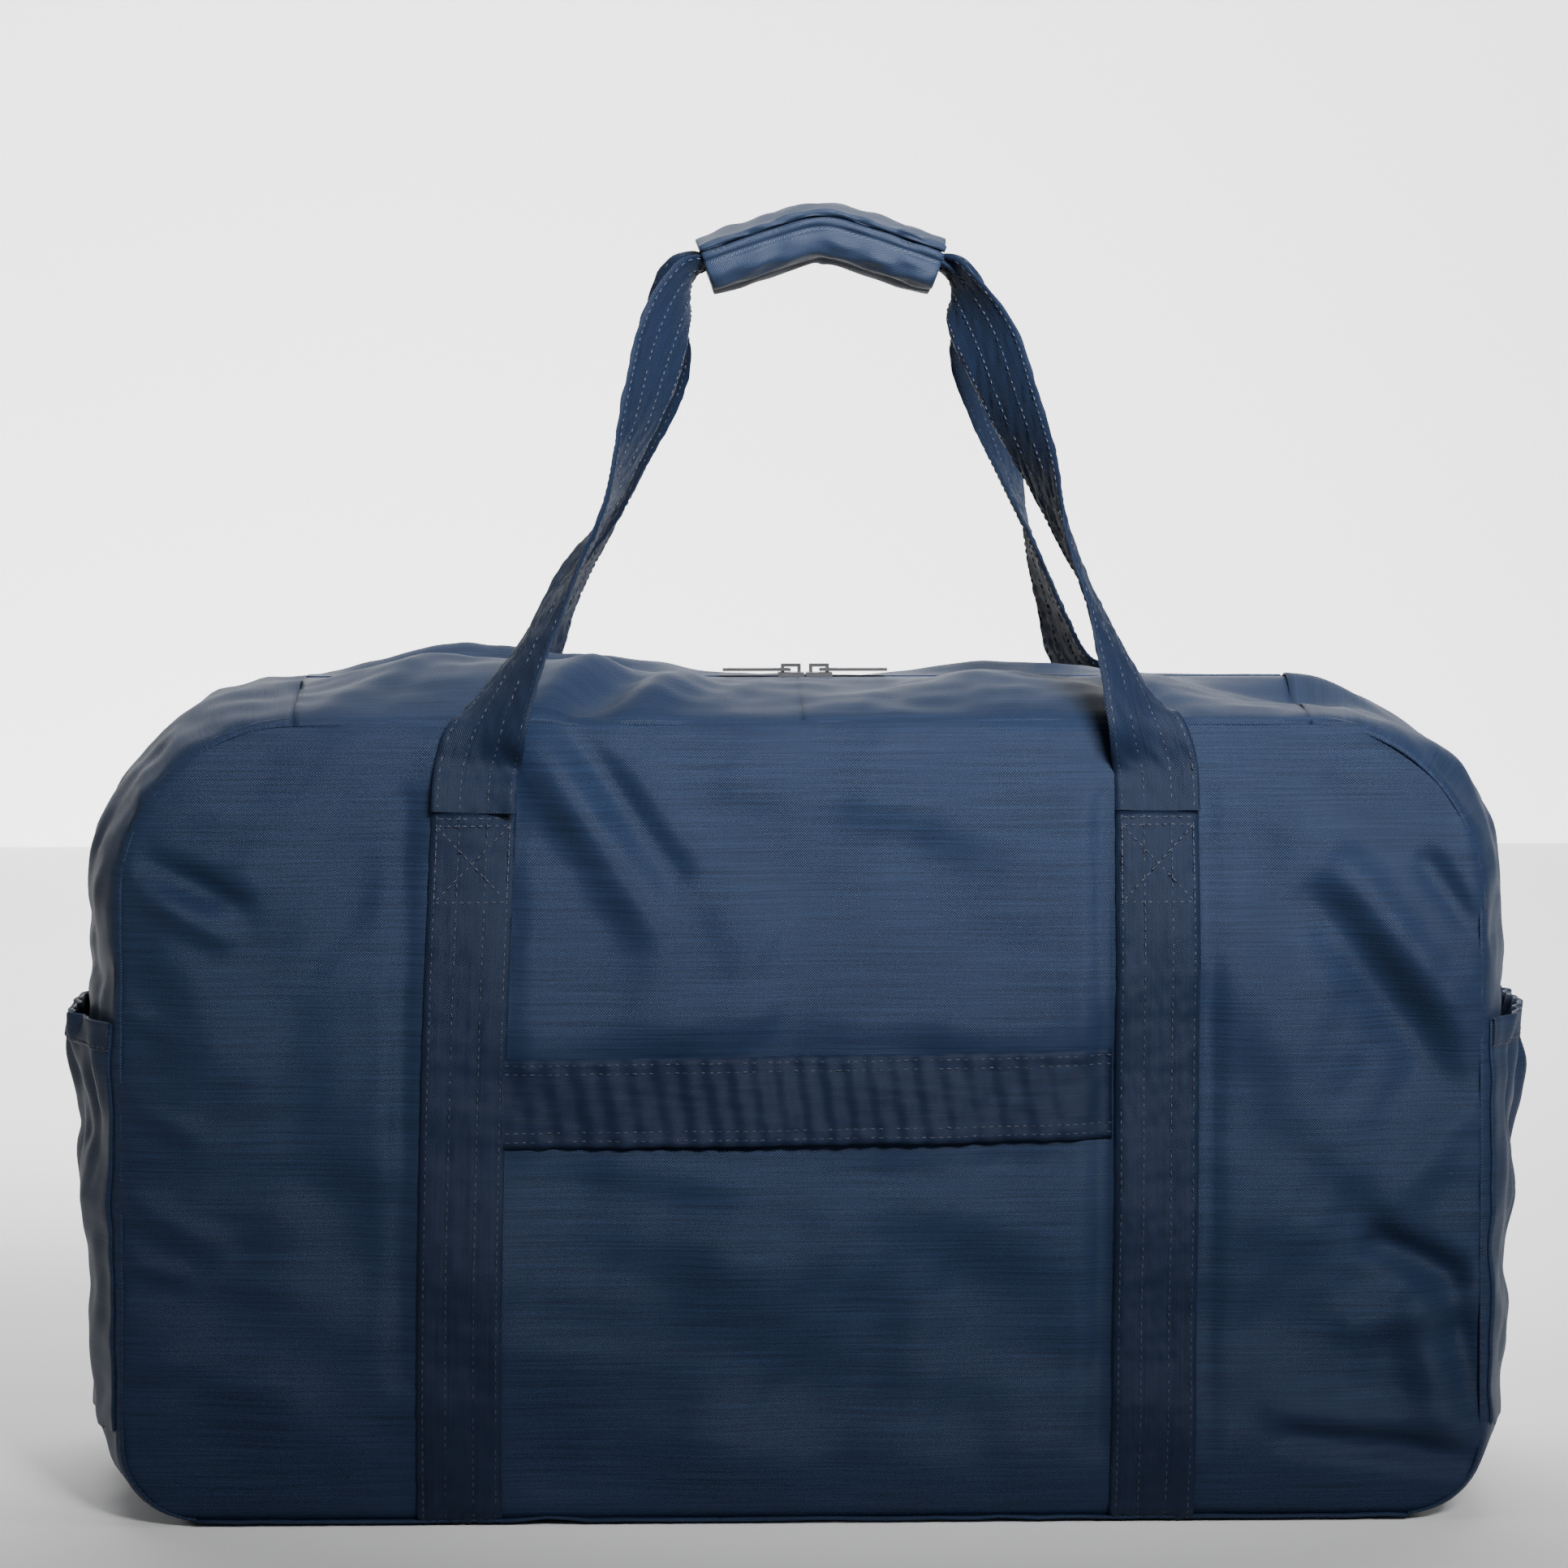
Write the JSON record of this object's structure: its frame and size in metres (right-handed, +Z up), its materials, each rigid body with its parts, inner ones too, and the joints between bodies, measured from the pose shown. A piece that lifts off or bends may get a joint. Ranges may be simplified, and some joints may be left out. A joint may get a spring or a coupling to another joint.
{
  "type": "foldable tote bag",
  "caption": "Zip-top fabric tote with two body straps, twin wrapped handles, a luggage-handle band and side pockets; it collapses in height.",
  "frame": {"origin": "middle of the footprint, on the floor under the body straps", "axes": "+X along the bag towards its right end, -Y out of the front with the luggage-handle band, +Z up"},
  "size_m": [0.5984, 0.2538, 0.5345],
  "materials": {
    "shell_fabric": "woven nylon, semi-matt",
    "strap_fabric": "woven nylon webbing, stitched",
    "zip_tape": "knitted tape",
    "zip_coil": "moulded nylon coil",
    "zip_metal": "dark gunmetal, satin",
    "grip_padding": "padded twill",
    "hook_and_loop": "hook and loop tape",
    "hem_binding": "folded hem"
  },
  "bodies": {
    "shell": {"base_panel": "shell_fabric", "front_panel": "shell_fabric", "back_panel": "shell_fabric", "end_gusset_left": "shell_fabric", "end_gusset_right": "shell_fabric", "body_strap_left": "strap_fabric", "body_strap_right": "strap_fabric", "trolley_band": "strap_fabric", "side_pocket_left": "shell_fabric", "side_pocket_right": "shell_fabric", "pocket_hem_left": "hem_binding", "pocket_hem_right": "hem_binding"},
    "rim": {"zip_end_left": "zip_tape", "zip_end_right": "zip_tape"},
    "mouth_front": {"top_strip_front_left": "shell_fabric", "top_strip_front_right": "shell_fabric", "zip_tape_front": "zip_tape", "zip_coil_front": "zip_coil"},
    "mouth_back": {"top_strip_back_left": "shell_fabric", "top_strip_back_right": "shell_fabric", "zip_tape_back": "zip_tape", "zip_coil_back": "zip_coil"},
    "slider_left_body": {"slider_left": "zip_metal"},
    "slider_right_body": {"slider_right": "zip_metal"},
    "puller_left_body": {"puller_left": "zip_metal"},
    "puller_right_body": {"puller_right": "zip_metal"},
    "handles": {"handle_front": "strap_fabric", "handle_back": "strap_fabric", "grip_wrap": "grip_padding", "grip_loop_patch": "hook_and_loop"},
    "flap": {"grip_flap": "grip_padding", "grip_hook_patch": "hook_and_loop"}
  },
  "joints": [
    {"name": "collapse", "type": "slide", "parent": "shell", "child": "rim", "axis": [0, 0, -1], "range_m": [0, 0.16], "deforming": ["front_panel", "back_panel", "end_gusset_left", "end_gusset_right", "body_strap_left", "body_strap_right", "trolley_band", "side_pocket_left", "side_pocket_right", "pocket_hem_left", "pocket_hem_right"]},
    {"name": "zip_left_slide", "type": "slide", "parent": "rim", "child": "slider_left_body", "axis": [-1, 0, 0], "range_m": [0, 0.172]},
    {"name": "zip_right_slide", "type": "slide", "parent": "rim", "child": "slider_right_body", "axis": [1, 0, 0], "range_m": [0, 0.172]},
    {"name": "mouth_front_open", "type": "hinge", "parent": "rim", "child": "mouth_front", "pos_m": [0, -0.094, 0.3274], "axis": [1, 0, 0], "range_deg": [0, 81], "deforming": ["top_strip_front_left", "top_strip_front_right", "zip_tape_front", "zip_coil_front"]},
    {"name": "mouth_back_open", "type": "hinge", "parent": "rim", "child": "mouth_back", "pos_m": [0, 0.094, 0.3274], "axis": [-1, 0, 0], "range_deg": [0, 81], "deforming": ["top_strip_back_left", "top_strip_back_right", "zip_tape_back", "zip_coil_back"]},
    {"name": "puller_left_flip", "type": "hinge", "parent": "slider_left_body", "child": "puller_left_body", "pos_m": [-0.0025, 0, 0.3402], "axis": [0, 1, 0], "range_deg": [0, 90]},
    {"name": "puller_right_flip", "type": "hinge", "parent": "slider_right_body", "child": "puller_right_body", "pos_m": [0.0105, 0, 0.3402], "axis": [0, -1, 0], "range_deg": [0, 90]},
    {"name": "handle_lean", "type": "hinge", "parent": "rim", "child": "handles", "pos_m": [0, -0.098, 0.3284], "axis": [-1, 0, 0], "range_deg": [0, 30], "deforming": ["handle_front", "handle_back"]},
    {"name": "grip_flap_open", "type": "hinge", "parent": "handles", "child": "flap", "pos_m": [0.011, 0.018, 0.5332], "axis": [-1, 0, 0], "range_deg": [0, 150]}
  ],
  "couplings": [
    {"joint": "zip_right_slide", "follows": "zip_left_slide", "ratio": 1},
    {"joint": "mouth_front_open", "follows": "zip_left_slide", "rad_per_m": 8.118},
    {"joint": "mouth_back_open", "follows": "zip_left_slide", "rad_per_m": 8.118}
  ]
}
